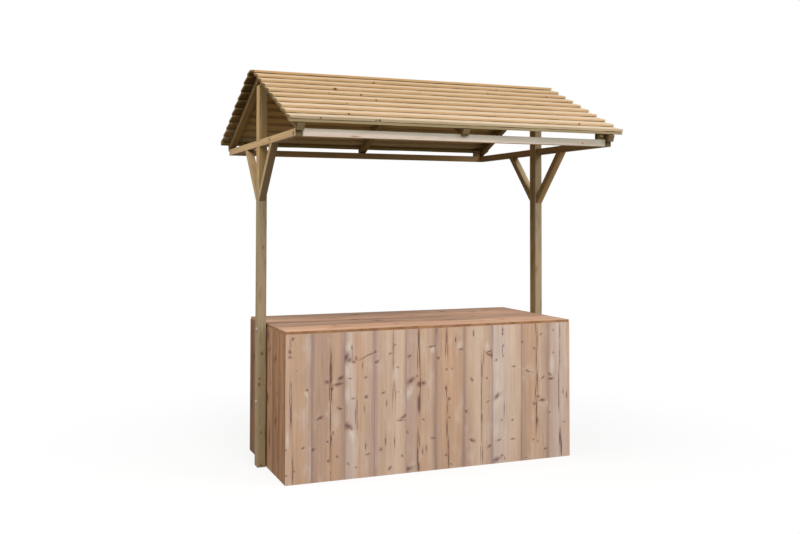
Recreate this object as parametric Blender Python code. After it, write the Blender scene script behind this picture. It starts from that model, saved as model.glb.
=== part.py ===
"""Market stall: a boxed counter between two roof posts, under a lapped-board gable roof.

The frame is +X along the counter, to the right as a customer sees it, and +Z up. The customer
stands on the -Y side. The origin lies on the ground, below the middle of the ridge.
All sizes are in metres.
"""

import math

import bmesh
import bpy

# Counter, boxed in decor board
COUNTER_LENGTH = 2.150
COUNTER_DEPTH = 1.040
COUNTER_HEIGHT = 1.000
COUNTER_FORWARD = 0.034  # how far its middle stands in front of the ridge line
PANEL_THICKNESS = 0.018
WORKTOP_THICKNESS = 0.018
WORKTOP_SETBACK = 0.004  # how far each end of the worktop stops short of the side panel's face

# Posts, bolted to the counter's sides over a thin packer
POST_WIDTH = 0.058  # along X
POST_DEPTH = 0.088  # along Y
PACKER_THICKNESS = 0.006
PACKER_WIDTH = 0.050
PACKER_BOTTOM = 0.400
PACKER_TOP = 0.960

# Cross-beams, halved into the posts, and the rails that join their ends
BEAM_LENGTH = 2.010
BEAM_WIDTH = 0.048
BEAM_HEIGHT = 0.048
BEAM_UNDERSIDE = 2.248  # height above the ground
RAIL_HEIGHT = 0.048
RAIL_DEPTH = 0.048

# Braces from post to cross-beam, at 45 degrees or so
BRACE_WIDTH = 0.048
BRACE_DEPTH = 0.048
BRACE_REACH = 0.411  # where a brace's lower edge meets the beam, from the post's centre line
BRACE_FOOT = 1.864  # where its lower edge meets the post's face, above the ground

# Rafters, in pairs that meet at the ridge
ROOF_PITCH = math.radians(23.2)
RAFTER_WIDTH = 0.048
RAFTER_DEPTH = 0.048
RAFTER_TAIL = 0.028  # how far the lower corner stands out past the rail
SEAT_DROP = 0.004  # depth of the level seat that is cut for the rail or beam

# Roof boards, lapped like clapboard from the eave up
BOARD_COUNT = 10
BOARD_THICKNESS = 0.020
BOARD_LAP = 0.022
TOP_COURSE = 0.098  # slope length that the ridge board shows
EAVE_OVERHANG = 0.018  # from the rafter's lower tail corner to the lowest board's edge
GABLE_OVERHANG = 0.060  # from the end rafter's outer face to the ends of the boards
UPPER_ROUND = 0.006  # rounded edge on top of each board's butt
LOWER_ROUND = 0.002
ROUND_STEPS = 4
FILLET_WIDTH = 0.060  # wedge under the lowest board

GAP = 0.0003  # left between faces that touch

# Sizes that follow from these
COUNTER_HALF = COUNTER_LENGTH / 2
COUNTER_FRONT = -COUNTER_FORWARD - COUNTER_DEPTH / 2
COUNTER_BACK = -COUNTER_FORWARD + COUNTER_DEPTH / 2
PANEL_TOP = COUNTER_HEIGHT - WORKTOP_THICKNESS - GAP

POST_INNER = COUNTER_HALF + PACKER_THICKNESS + 2 * GAP
POST_OUTER = POST_INNER + POST_WIDTH
POST_FACE = POST_DEPTH / 2

BEAM_TOP = BEAM_UNDERSIDE + BEAM_HEIGHT
BEAM_END = BEAM_LENGTH / 2
BEAM_INNER = POST_OUTER - BEAM_WIDTH
HALVING = BEAM_WIDTH / 2  # half of the beam goes into the post

SLOPE = math.tan(ROOF_PITCH)
RAFTER_INNER = POST_OUTER - RAFTER_WIDTH
RAFTER_UNDER_RIDGE = BEAM_TOP - SEAT_DROP + BEAM_END * SLOPE
RAFTER_TOP_RIDGE = RAFTER_UNDER_RIDGE + RAFTER_DEPTH / math.cos(ROOF_PITCH)
TAIL_END = BEAM_END + RAFTER_TAIL

ROOF_HALF_LENGTH = POST_OUTER + GABLE_OVERHANG
EAVE_ALONG = (TAIL_END + EAVE_OVERHANG) / math.cos(ROOF_PITCH)
EXPOSURE = (EAVE_ALONG - TOP_COURSE) / (BOARD_COUNT - 1)
BOARD_WIDTH = EXPOSURE + BOARD_LAP
BOARD_TILT = math.asin((BOARD_THICKNESS + GAP) / EXPOSURE)

SIDES = {"left": -1, "right": 1}
SLOPES = {"front": -1, "rear": 1}


def clear_scene():
    for obj in list(bpy.data.objects):
        bpy.data.objects.remove(obj, do_unlink=True)


def material(name, color, roughness=0.7):
    made = bpy.data.materials.new(name)
    made.use_nodes = True
    shader = made.node_tree.nodes["Principled BSDF"]
    shader.inputs["Base Color"].default_value = (*color, 1.0)
    shader.inputs["Roughness"].default_value = roughness
    shader.inputs["Metallic"].default_value = 0.0
    return made


def add_object(name, mesh_data, finish):
    """Puts a finished bmesh into the scene as one named object."""
    bmesh.ops.recalc_face_normals(mesh_data, faces=mesh_data.faces)
    mesh = bpy.data.meshes.new(name)
    mesh_data.to_mesh(mesh)
    mesh_data.free()
    mesh.materials.append(finish)
    obj = bpy.data.objects.new(name, mesh)
    bpy.context.collection.objects.link(obj)
    return obj


def prism(name, outline, x_low, x_high, finish):
    """An outline of (y, z) points carried straight along X."""
    shape = bmesh.new()
    start = [shape.verts.new((x_low, y, z)) for y, z in outline]
    face = shape.faces.new(start)
    grown = bmesh.ops.extrude_face_region(shape, geom=[face])
    moved = [item for item in grown["geom"] if isinstance(item, bmesh.types.BMVert)]
    bmesh.ops.translate(shape, verts=moved, vec=(x_high - x_low, 0, 0))
    return add_object(name, shape, finish)


def block(name, low, high, finish):
    """A plain board or timber between two corners."""
    outline = [(low[1], low[2]), (high[1], low[2]), (high[1], high[2]), (low[1], high[2])]
    return prism(name, outline, low[0], high[0], finish)


def side_span(side, inner, outer):
    """The X range between two distances from the middle, on the left or the right."""
    return sorted((SIDES[side] * inner, SIDES[side] * outer))


def facing(slope, outline):
    """Turns (distance from the ridge line, z) points into (y, z) on the front or rear slope."""
    return [(SLOPES[slope] * d, z) for d, z in outline]


def notch(obj, low, high):
    """Cuts a box out of an object, with a hidden helper as the cutter."""
    cutter = block(obj.name + "_notch", low, high, obj.data.materials[0])
    cutter.hide_render = True
    cutter.display_type = "WIRE"
    cut = obj.modifiers.new("notch", "BOOLEAN")
    cut.operation = "DIFFERENCE"
    cut.solver = "EXACT"
    cut.object = cutter


# Counter


def build_counter(decor, worktop_decor):
    """Front and rear panels run the full length, and the side panels stand between them."""
    for name, y_low in (
        ("counter_front_panel", COUNTER_FRONT),
        ("counter_rear_panel", COUNTER_BACK - PANEL_THICKNESS),
    ):
        low = (-COUNTER_HALF, y_low, 0)
        block(name, low, (COUNTER_HALF, y_low + PANEL_THICKNESS, PANEL_TOP), decor)
    for side in SIDES:
        x_low, x_high = side_span(side, COUNTER_HALF - PANEL_THICKNESS, COUNTER_HALF)
        low = (x_low, COUNTER_FRONT + PANEL_THICKNESS + GAP, 0)
        high = (x_high, COUNTER_BACK - PANEL_THICKNESS - GAP, PANEL_TOP)
        block(f"counter_{side}_panel", low, high, decor)
    end = COUNTER_HALF - WORKTOP_SETBACK
    low = (-end, COUNTER_FRONT, COUNTER_HEIGHT - WORKTOP_THICKNESS)
    block("worktop", low, (end, COUNTER_BACK, COUNTER_HEIGHT), worktop_decor)


# Posts and cross-beams


def rafter_underside(distance):
    return RAFTER_UNDER_RIDGE - distance * SLOPE


def build_post(side, wood):
    """A post with a roof-shaped head under the rafters and a housing for the cross-beam."""
    shoulder = rafter_underside(POST_FACE) - GAP
    outline = [
        (-POST_FACE, 0),
        (POST_FACE, 0),
        (POST_FACE, shoulder),
        (0, rafter_underside(0) - GAP),
        (-POST_FACE, shoulder),
    ]
    post = prism(f"post_{side}", outline, *side_span(side, POST_INNER, POST_OUTER), wood)
    x_low, x_high = side_span(side, POST_OUTER - HALVING - GAP, POST_OUTER + HALVING)
    notch(
        post,
        (x_low, -POST_DEPTH, BEAM_UNDERSIDE - GAP),
        (x_high, POST_DEPTH, BEAM_TOP + GAP),
    )


def build_packer(side, wood):
    """The strip that keeps a post off the side panel, at the height of its bolts."""
    inner = COUNTER_HALF + GAP
    x_low, x_high = side_span(side, inner, inner + PACKER_THICKNESS)
    low = (x_low, -PACKER_WIDTH / 2, PACKER_BOTTOM)
    block(f"post_packer_{side}", low, (x_high, PACKER_WIDTH / 2, PACKER_TOP), wood)


def build_cross_beam(side, wood):
    """A beam whose inner half is cut away where it crosses the post."""
    x_low, x_high = side_span(side, BEAM_INNER, POST_OUTER)
    low = (x_low, -BEAM_END, BEAM_UNDERSIDE)
    beam = block(f"cross_beam_{side}", low, (x_high, BEAM_END, BEAM_TOP), wood)
    x_low, x_high = side_span(side, BEAM_INNER - HALVING, POST_OUTER - HALVING)
    notch(
        beam,
        (x_low, -POST_FACE - GAP, BEAM_UNDERSIDE - HALVING),
        (x_high, POST_FACE + GAP, BEAM_TOP + HALVING),
    )


def build_brace(side, slope, wood):
    """A brace cut plumb against the post and level under the beam."""
    foot = POST_FACE + GAP
    head = BEAM_UNDERSIDE - GAP
    rise = head - BRACE_FOOT
    run = BRACE_REACH - foot
    length = math.hypot(rise, run)
    outline = [
        (foot, BRACE_FOOT),
        (BRACE_REACH, head),
        (BRACE_REACH - BRACE_DEPTH * length / rise, head),
        (foot, BRACE_FOOT + BRACE_DEPTH * length / run),
    ]
    span = side_span(side, POST_OUTER - BRACE_WIDTH, POST_OUTER)
    prism(f"brace_{side}_{slope}", facing(slope, outline), *span, wood)


def build_rail(slope, wood):
    """The eave rail between the cross-beams, flush with their ends and their tops."""
    length = BEAM_INNER - GAP
    y_low, y_high = sorted((SLOPES[slope] * (BEAM_END - RAIL_DEPTH), SLOPES[slope] * BEAM_END))
    low = (-length, y_low, BEAM_TOP - RAIL_HEIGHT)
    block(f"eave_rail_{slope}", low, (length, y_high, BEAM_TOP), wood)


# Roof


def build_rafter(place, slope, wood):
    """A rafter with a plumb ridge cut, a level seat on the rail and a square-cut tail."""
    seat = BEAM_TOP + GAP
    heel = BEAM_END + GAP
    ridge = GAP / 2
    tail = rafter_underside(TAIL_END)
    outline = [
        (ridge, rafter_underside(ridge)),
        ((RAFTER_UNDER_RIDGE - seat) / SLOPE, seat),
        (heel, seat),
        (heel, rafter_underside(heel)),
        (TAIL_END, tail),
        (
            TAIL_END + RAFTER_DEPTH * math.sin(ROOF_PITCH),
            tail + RAFTER_DEPTH * math.cos(ROOF_PITCH),
        ),
        (ridge, RAFTER_TOP_RIDGE - ridge * SLOPE),
    ]
    if place == "middle":
        span = (-RAFTER_WIDTH / 2, RAFTER_WIDTH / 2)
    else:
        span = side_span(place, RAFTER_INNER, POST_OUTER)
    prism(f"rafter_{place}_{slope}", facing(slope, outline), *span, wood)


def off_slope(along, height):
    """(distance from the ridge line, z) of a point by its place along and above the rafters."""
    cos, sin = math.cos(ROOF_PITCH), math.sin(ROOF_PITCH)
    return along * cos + height * sin, RAFTER_TOP_RIDGE - along * sin + height * cos


def arc(centre, radius, start, end):
    """Points of a rounded edge, from one angle to another."""
    steps = [start + (end - start) * step / ROUND_STEPS for step in range(ROUND_STEPS + 1)]
    return [(centre[0] + radius * math.cos(a), centre[1] + radius * math.sin(a)) for a in steps]


def board_section(top_corner, width, tilt):
    """A board's section along and above the rafters, from its upper lower corner down the slope."""

    def placed(point):
        u, v = point
        cos, sin = math.cos(tilt), math.sin(tilt)
        return top_corner[0] + u * cos - v * sin, top_corner[1] + u * sin + v * cos

    lower = (width - LOWER_ROUND, LOWER_ROUND)
    upper = (width - UPPER_ROUND, BOARD_THICKNESS - UPPER_ROUND)
    section = [(0, 0)]
    section += arc(lower, LOWER_ROUND, -math.pi / 2, 0)
    section += arc(upper, UPPER_ROUND, 0, math.pi / 2)
    section += [(0, BOARD_THICKNESS)]
    return [placed(point) for point in section]


def clipped_at_ridge(outline, limit):
    """Keeps the part of an outline that lies farther than the limit from the ridge line."""
    kept = []
    for (d0, z0), (d1, z1) in zip(outline, outline[1:] + outline[:1]):
        if d0 >= limit:
            kept.append((d0, z0))
        if (d0 >= limit) != (d1 >= limit):
            share = (limit - d0) / (d1 - d0)
            kept.append((limit, z0 + share * (z1 - z0)))
    return kept


def course_corner(course):
    """Where a course's upper edge lies on the rafters. Courses count from 1 at the ridge."""
    butt = TOP_COURSE + (course - 1) * EXPOSURE
    return butt - BOARD_WIDTH * math.cos(BOARD_TILT), GAP


def ridge_course():
    """The ridge board leans from the rafters' top to the edge of the course below it."""
    below = course_corner(2)
    edge = (
        below[0] - BOARD_THICKNESS * math.sin(BOARD_TILT),
        below[1] + BOARD_THICKNESS * math.cos(BOARD_TILT) + GAP,
    )
    tilt = math.atan2(edge[1] - GAP, edge[0])
    past_ridge = BOARD_THICKNESS
    start = (-past_ridge * math.cos(tilt), GAP - past_ridge * math.sin(tilt))
    width = TOP_COURSE / math.cos(tilt) + past_ridge
    return board_section(start, width, tilt)


def build_boards(slope, wood):
    """Ten lapped courses, each resting on the upper edge of the next, and a wedge at the eave."""
    span = (-ROOF_HALF_LENGTH, ROOF_HALF_LENGTH)
    for course in range(1, BOARD_COUNT + 1):
        if course == 1:
            section = ridge_course()
        else:
            section = board_section(course_corner(course), BOARD_WIDTH, BOARD_TILT)
        outline = clipped_at_ridge([off_slope(*point) for point in section], GAP / 2)
        prism(f"roof_board_{slope}_{course:02d}", facing(slope, outline), *span, wood)

    corner = course_corner(BOARD_COUNT)

    def board_underside(along):
        rise = (along - corner[0]) * math.tan(BOARD_TILT)
        return corner[1] + rise - GAP / math.cos(BOARD_TILT)

    butt = EAVE_ALONG
    back = butt - FILLET_WIDTH
    wedge = [(back, GAP), (butt, GAP), (butt, board_underside(butt)), (back, board_underside(back))]
    outline = [off_slope(*point) for point in wedge]
    prism(f"eave_fillet_{slope}", facing(slope, outline), *span, wood)


def main():
    clear_scene()
    decor = material("wood_decor_board", (0.55, 0.40, 0.30), 0.6)
    worktop_decor = material("worktop_board", (0.58, 0.42, 0.32), 0.55)
    frame_wood = material("green_treated_pine", (0.42, 0.33, 0.20))
    rail_wood = material("planed_pine", (0.72, 0.66, 0.60))
    board_wood = material("roof_board_pine", (0.62, 0.45, 0.26))

    build_counter(decor, worktop_decor)
    for side in SIDES:
        build_post(side, frame_wood)
        build_packer(side, frame_wood)
        build_cross_beam(side, frame_wood)
        for slope in SLOPES:
            build_brace(side, slope, frame_wood)
    build_rail("front", rail_wood)
    build_rail("rear", frame_wood)
    for place in ("left", "middle", "right"):
        for slope in SLOPES:
            build_rafter(place, slope, frame_wood)
    for slope in SLOPES:
        build_boards(slope, board_wood)


main()
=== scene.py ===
# %% [markdown]
# # A wooden market stall
# The stall is a boxed counter between two posts, and the posts carry a gabled roof of lapped
# boards. The solids are already there as a fixed frame, so this lesson only dresses them: each
# solid gets a finer skin in the same place, and each skin gets a finish made of nodes.

# %% Load the frame
import math

import bmesh
import bpy
import numpy as np
from mathutils import Matrix, Vector


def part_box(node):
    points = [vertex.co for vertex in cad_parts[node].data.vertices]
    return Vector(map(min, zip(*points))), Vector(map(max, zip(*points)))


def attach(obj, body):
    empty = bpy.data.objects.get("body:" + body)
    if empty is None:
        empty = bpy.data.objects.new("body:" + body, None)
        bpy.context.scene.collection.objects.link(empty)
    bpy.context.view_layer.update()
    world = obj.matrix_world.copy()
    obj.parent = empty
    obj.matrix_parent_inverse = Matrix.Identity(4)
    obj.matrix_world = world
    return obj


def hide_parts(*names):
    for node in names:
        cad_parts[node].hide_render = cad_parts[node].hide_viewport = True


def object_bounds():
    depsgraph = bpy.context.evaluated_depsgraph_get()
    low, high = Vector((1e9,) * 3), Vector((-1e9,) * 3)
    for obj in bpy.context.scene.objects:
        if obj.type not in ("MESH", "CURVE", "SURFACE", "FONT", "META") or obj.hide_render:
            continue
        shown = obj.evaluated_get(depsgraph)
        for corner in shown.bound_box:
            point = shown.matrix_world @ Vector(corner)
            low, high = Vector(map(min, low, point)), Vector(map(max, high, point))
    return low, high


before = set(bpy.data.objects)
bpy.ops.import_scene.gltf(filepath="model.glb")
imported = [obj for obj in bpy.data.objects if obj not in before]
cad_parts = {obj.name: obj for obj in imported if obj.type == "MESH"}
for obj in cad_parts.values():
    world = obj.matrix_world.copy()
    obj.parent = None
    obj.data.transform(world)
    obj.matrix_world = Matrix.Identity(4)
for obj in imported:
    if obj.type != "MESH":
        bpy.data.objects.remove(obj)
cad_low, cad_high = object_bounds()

print("solids to dress:", len(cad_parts))
print("size in metres:", [round(high - low, 3) for low, high in zip(cad_low, cad_high)])

# %% [markdown]
# ## One way to make every piece
# Sawn wood is a cross-section carried along a path. A cube that is scaled and cut could stand in
# for it, but then its grain and its arrises would have to be guessed afterwards. Here the rings of
# points are worked out with numpy, joined by faces, and eased by a Bevel modifier. Each piece also
# keeps its own wood coordinates, so that the grain follows the timber and not the room.

# %% Carry an outline along a path
rng = np.random.default_rng(23)
ROOT = "root"
ARRIS = 0.0022
FINE_ARRIS = 0.0012


def side_faces(count, size):
    """Joins ring i to ring i + 1 with one four-sided face for each edge of the outline."""
    corner = np.arange(count * size).reshape(count, size)
    after = np.roll(corner, -1, axis=1)
    return np.stack([corner[:-1], after[:-1], after[1:], corner[1:]], axis=-1).reshape(-1, 4)


def add_values(mesh, name, kind, domain, values):
    """Stores one value for each point or face under a name that a material can read."""
    field = "vector" if kind == "FLOAT_VECTOR" else "value"
    mesh.attributes.new(name, kind, domain)
    mesh.attributes[name].data.foreach_set(field, np.asarray(values, np.float32).ravel())


def tidy_mesh(mesh):
    """Merges points that coincide and turns every face outwards."""
    shape = bmesh.new()
    shape.from_mesh(mesh)
    bmesh.ops.remove_doubles(shape, verts=shape.verts, dist=1e-6)
    bmesh.ops.dissolve_degenerate(shape, edges=shape.edges, dist=1e-6)
    bmesh.ops.recalc_face_normals(shape, faces=shape.faces)
    shape.to_mesh(mesh)
    shape.free()


def add_piece(name, mesh, nodes, ease=0.0, corner=50):
    """Puts a mesh into the scene as a piece that stands for some of the solids."""
    tidy_mesh(mesh)
    mesh.shade_smooth()
    mesh.set_sharp_from_angle(angle=math.radians(corner))
    piece = bpy.data.objects.new(name, mesh)
    bpy.context.collection.objects.link(piece)
    if ease:
        bevel = piece.modifiers.new("eased arris", "BEVEL")
        bevel.width = ease
        bevel.segments = 3
        bevel.limit_method = "ANGLE"
        bevel.angle_limit = math.radians(corner)
        bevel.harden_normals = True
    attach(piece, ROOT)
    if nodes:
        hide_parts(*nodes)
    return piece


def carried(name, rings, finishes, picks=None):
    """Carries a closed outline along a path.

    Point j of ring i sits at rings[i, j]. Neighbouring rings are joined edge by edge, and the first
    and the last ring are closed by a cap. The picks say which finish each face has.
    """
    count, size, _ = rings.shape
    sides = side_faces(count, size)
    first = np.arange(size)[::-1]
    last = np.arange(size) + (count - 1) * size
    mesh = bpy.data.meshes.new(name)
    mesh.from_pydata(rings.reshape(-1, 3).tolist(), [], [*sides.tolist(), first.tolist(), last.tolist()])
    for finish in finishes:
        mesh.materials.append(finish)
    if picks is not None:
        mesh.polygons.foreach_set("material_index", np.asarray(picks, np.int32))
    return mesh


def timber(
    name,
    rings,
    finish,
    axes,
    node="",
    tone=0.5,
    slot="frame_timber",
    ease=ARRIS,
    corner=50,
    cut_edges=(),
    cut_caps=1,
    **marks,
):
    """A piece of wood: an outline carried along a path, with wood coordinates and marks.

    Wood coordinates are the points turned into the timber's own axes and moved to a random part of
    the tree. Marks, such as how grey the wood is or how much painted shade it has, are stored for
    each point, and each face says whether it is a saw cut.
    """
    mesh = carried(name, rings, [finish])
    count, size, _ = rings.shape
    log = np.array([rng.uniform(-40, 40), rng.uniform(0.03, 0.09), rng.uniform(-0.08, -0.03)])
    add_values(mesh, "wood", "FLOAT_VECTOR", "POINT", rings.reshape(-1, 3) @ np.array(axes).T + log)
    cut = np.zeros((count - 1, size))
    cut[:, list(cut_edges)] = 1
    add_values(mesh, "cut", "FLOAT", "FACE", [*cut.ravel(), cut_caps, cut_caps])
    for mark, values in {"tone": tone, **marks}.items():
        add_values(mesh, mark, "FLOAT", "POINT", np.broadcast_to(values, (count, size)))
    return add_piece(name, mesh, [node] if node else [], ease, corner)


# %% [markdown]
# ## Colour by name
# A colour on a paint card is a screen colour from 0 to 255, but a shader adds light, so it wants
# linear values. One small function turns the card's numbers into the shader's.
#
# The second helper adds one node and joins it up in a single call, which keeps each finish short
# enough to read from top to bottom.

# %% Colours and wiring


def paint(red, green, blue):
    """Screen colour to linear light: a short straight part near black, and a power of 2.4 above."""
    screen = np.array([red, green, blue]) / 255
    light = np.where(screen <= 0.04045, screen / 12.92, ((screen + 0.055) / 1.055) ** 2.4)
    return (*light.tolist(), 1.0)


class Finish:
    """A material, or the world, and the few kinds of node that it is built from."""

    def __init__(self, name, owner=None):
        self.material = owner or bpy.data.materials.new(name)
        self.material.use_nodes = True
        self.tree = self.material.node_tree
        self.shader = self.tree.nodes.get("Principled BSDF")

    def add(self, kind, inputs, output=0, **settings):
        made = self.tree.nodes.new("ShaderNode" + kind)
        for setting, value in settings.items():
            setattr(made, setting, value)
        for socket, value in inputs.items():
            self.join(value, made.inputs[socket])
        return made.outputs[output]

    def join(self, value, socket):
        if isinstance(value, bpy.types.NodeSocket):
            self.tree.links.new(value, socket)
        else:
            socket.default_value = value

    def math(self, operation, first, second):
        return self.add("Math", {0: first, 1: second}, operation=operation)

    def plus(self, first, second):
        return self.math("ADD", first, second)

    def minus(self, first, second):
        return self.math("SUBTRACT", first, second)

    def times(self, first, second):
        return self.math("MULTIPLY", first, second)

    def vector(self, operation, first, second):
        return self.add("VectorMath", {0: first, 1: second}, operation=operation)

    def smooth(self, value, start, end, low=0.0, high=1.0):
        """A soft step from low to high while the value goes from start to end."""
        inputs = {"Value": value, "From Min": start, "From Max": end, "To Min": low, "To Max": high}
        return self.add("MapRange", inputs, interpolation_type="SMOOTHSTEP")

    def mix(self, share, first, second, blend="MIX"):
        inputs = {0: share, 6: first, 7: second}
        return self.add("Mix", inputs, output=2, data_type="RGBA", blend_type=blend)

    def noise(self, place, stretch, detail=2.0, output=0, roughness=0.5):
        """Noise whose blobs are 1 / stretch metres long on each axis."""
        place = self.vector("MULTIPLY", place, stretch)
        inputs = {"Vector": place, "Scale": 1.0, "Detail": detail, "Roughness": roughness}
        return self.add("TexNoise", inputs, output=output)

    def read(self, name, output="Fac"):
        return self.add("Attribute", {}, output=output, attribute_name=name)

    def nearest(self, place, table):
        """How far the nearest of several ellipses is: (centre, half sizes) and degrees if turned.

        The distance is the length of (point - centre), turned and divided by the half sizes, so it
        is 1 on an ellipse's edge, less inside it and more outside.
        """
        nearest = 9.0
        for centre, half, *turn in table:
            inputs = {"Vector": place, "Location": centre, "Scale": half}
            inputs["Rotation"] = (0, 0, math.radians(sum(turn)))
            inside = self.add("Mapping", inputs, vector_type="TEXTURE")
            distance = self.add("VectorMath", {0: inside}, output="Value", operation="LENGTH")
            nearest = self.math("MINIMUM", nearest, distance)
        return nearest

    def tint(self, share, colour, tint):
        """Multiplies a colour by a tint where the share is 1."""
        return self.mix(share, colour, (*tint, 1.0), "MULTIPLY")

    def shade(self, colour, amount):
        """Multiplies a colour by one number."""
        grey = self.add("CombineXYZ", {"X": amount, "Y": amount, "Z": amount})
        return self.mix(1.0, colour, grey, "MULTIPLY")

    def nudge(self, place, source, stretch, reach, detail=2.0):
        """A place that noise pushes about, by half the reach at most on each axis."""
        push = self.vector("SUBTRACT", self.noise(source, stretch, detail, output=1), (0.5, 0.5, 0.5))
        return self.vector("ADD", place, self.vector("MULTIPLY", push, reach))

    def ramp(self, value, colours):
        """Blends through a row of evenly spaced colours while the value goes from 0 to 1."""
        made = self.tree.nodes.new("ShaderNodeValToRGB")
        self.join(value, made.inputs[0])
        stops = made.color_ramp.elements
        for index in range(1, len(colours) - 1):
            stops.new(index / (len(colours) - 1))
        for stop, colour in zip(stops, colours):
            stop.color = colour
        return made.outputs[0]

    def surface(self, colour, roughness, height, depth, gloss=0.12):
        """Joins colour, roughness and relief, so many metres deep, to the shader."""
        self.join(colour, self.shader.inputs["Base Color"])
        self.join(roughness, self.shader.inputs["Roughness"])
        bump = self.add("Bump", {"Strength": 0.5, "Distance": depth, "Height": height})
        self.join(bump, self.shader.inputs["Normal"])
        self.shader.inputs["Specular IOR Level"].default_value = gloss
        return self.material


# %% [markdown]
# ## Pine in three dimensions
# A stretched picture of wood shows the same streaks on every side and none on the end. Real boards
# are cut from a log, so the pattern here fills space: growth rings lie round a pith that runs along
# the timber, a little off its centre. Long faces then show lines and flames, and end cuts show
# arcs, with no extra work. Fine fibres, broad stains and a few knots are laid over the rings.

# %% The pine finish
# Tints that multiply the wood's colour where a mark has its full strength: painted shade under
# boards, soiling and painted shade, painted shade on faces that look down, painted light on faces
# that look up, and grey blotches
UNDERSIDE_SHADE = (0.54, 0.48, 0.25)
GRIME_AND_SHADE = (0.30, 0.24, 0.15)
SHADE_BELOW = (0.42, 0.46, 0.56)
LIGHT_ABOVE = (1.65, 1.90, 2.15)
BLOTCH = (0.62, 0.61, 0.60)


def pine(name, cards, spots=(), knotty=0.5, contrast=1.0, sunned=(), grey=()):
    """Pine from its wood coordinates: rings, fibres, broad stains, knots and end grain.

    The five cards are the screen colours of pale wood, dark wood, stains, knots and saw cuts. Each
    piece says by its own attributes how grey it is, how much soiling and painted shade it has, how
    much painted shade falls on its faces that look down and how much painted light on those that
    look up. Boards with lit tops also get a top that is partly weathered pale and partly painted
    light, and an underside darkened by painted shade.
    """
    pale, dark, stain, knot, end = [paint(*card) for card in cards]
    finish = Finish(name)
    wood = finish.read("wood", "Vector")
    tone = finish.read("tone")
    cut = finish.read("cut")
    # Lit tops: partly weathered pale and partly painted light
    if sunned:
        top_pale, top_dark = [paint(*card) for card in sunned]
        sun = finish.read("sun")
        pale = finish.mix(sun, pale, top_pale)
        dark = finish.mix(sun, dark, top_dark)
        stain = finish.mix(sun, stain, top_dark)
    slow = finish.vector("MULTIPLY", wood, (0.3, 1, 1))
    bent = finish.nudge(slow, wood, (1.6, 9, 9), (0, 0.05, 0.05))
    rings = finish.add(
        "TexWave",
        {"Vector": bent, "Scale": 62.0, "Distortion": 1.6, "Detail": 2.0, "Detail Scale": 0.6},
        output=1,
        wave_type="RINGS",
        rings_direction="X",
    )
    late = finish.smooth(rings, 0.35, 1.0)
    fibres = finish.noise(wood, (9, 380, 380), detail=3.0)
    broad = finish.noise(wood, (1.1, 10, 10), detail=2.0)
    streaks = finish.noise(wood, (1.5, 70, 70), detail=3.0, roughness=0.6)
    colour = finish.mix(finish.times(late, 0.55 * contrast), pale, dark)
    colour = finish.mix(finish.smooth(streaks, 0.42, 0.72, 0.0, 0.55 * contrast), colour, dark)
    colour = finish.shade(colour, finish.smooth(fibres, 0.3, 0.75, 1.06, 0.90))
    stained = finish.smooth(finish.plus(broad, finish.times(tone, 0.35)), 0.45, 0.95)
    colour = finish.mix(finish.times(stained, 0.6), colour, stain)
    if grey:
        faded = finish.plus(finish.read("grey"), finish.times(streaks, 0.5))
        colour = finish.mix(finish.smooth(faded, 0.55, 1.05, 0.0, 0.85), colour, paint(*grey))
        blotches = finish.noise(wood, (6, 42, 42), detail=3.0, roughness=0.6)
        blotches = finish.smooth(blotches, 0.50, 0.70, 0.0, 0.55 * contrast)
        colour = finish.tint(blotches, colour, BLOTCH)
    cells = finish.vector("MULTIPLY", wood, (2.4, 7.5, 7.5))
    inputs = {"Vector": cells, "Scale": 1.0, "Randomness": 1.0}
    distance = finish.add("TexVoronoi", inputs, output="Distance")
    knots = finish.smooth(distance, 0.125 * knotty, 0.06 * knotty, 0.0, 0.7)
    halo = finish.smooth(distance, 0.30 * knotty, 0.10 * knotty, 0.0, 0.5)
    if spots:
        place = finish.add("TexCoord", {}, output="Object")
        place = finish.nudge(place, wood, (150, 150, 150), (0.012, 0.012, 0.012))
        nearest = finish.nearest(place, spots)
        knots = finish.math("MAXIMUM", knots, finish.smooth(nearest, 1.25, 0.7))
        halo = finish.math("MAXIMUM", halo, finish.smooth(nearest, 3.0, 0.9, 0.0, 0.35))
    colour = finish.mix(halo, colour, dark)
    colour = finish.mix(finish.times(knots, 0.9), colour, knot)
    colour = finish.mix(finish.times(cut, 0.92), colour, end)
    # Painted shade on the boards' undersides
    if sunned:
        colour = finish.tint(finish.read("shade"), colour, UNDERSIDE_SHADE)
    # Soiling and painted shade
    colour = finish.tint(finish.read("grime"), colour, GRIME_AND_SHADE)
    # Painted shade on faces that look down, painted light on faces that look up
    facing = finish.add("SeparateXYZ", {0: finish.add("NewGeometry", {}, output="Normal")}, output=2)
    damp = finish.times(finish.read("damp"), finish.smooth(facing, -0.2, -0.5))
    colour = finish.tint(damp, colour, SHADE_BELOW)
    light_above = finish.times(finish.read("light_above"), finish.smooth(facing, 0.2, 0.5))
    colour = finish.tint(light_above, colour, LIGHT_ABOVE)
    edge = finish.add("NewGeometry", {}, output="Pointiness")
    worn = finish.smooth(edge, 0.52, 0.60, 0.0, 0.10)
    colour = finish.mix(worn, colour, pale)
    roughness = finish.smooth(finish.plus(late, fibres), 0.2, 1.6, 0.92, 0.76)
    height = finish.plus(finish.times(late, 0.5), fibres)
    height = finish.minus(height, finish.times(knots, 0.6))
    return finish.surface(colour, roughness, height, 0.0006 * contrast)


# %% [markdown]
# ## The frame timber
# Everything in the frame is pressure-treated pine. The posts are a greyed olive, while beams and braces
# are still a warm tan; the rafters take a darker copy of the tan, which is painted shade of the roof.
# Saw cuts drink more of the salts, so end grain is the darkest part. The planed rail under the front
# eave is almost white, with grey along its upper half.

# %% Finishes for the timber

post_low, post_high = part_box("post_left")
post_front = post_low.y
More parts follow.
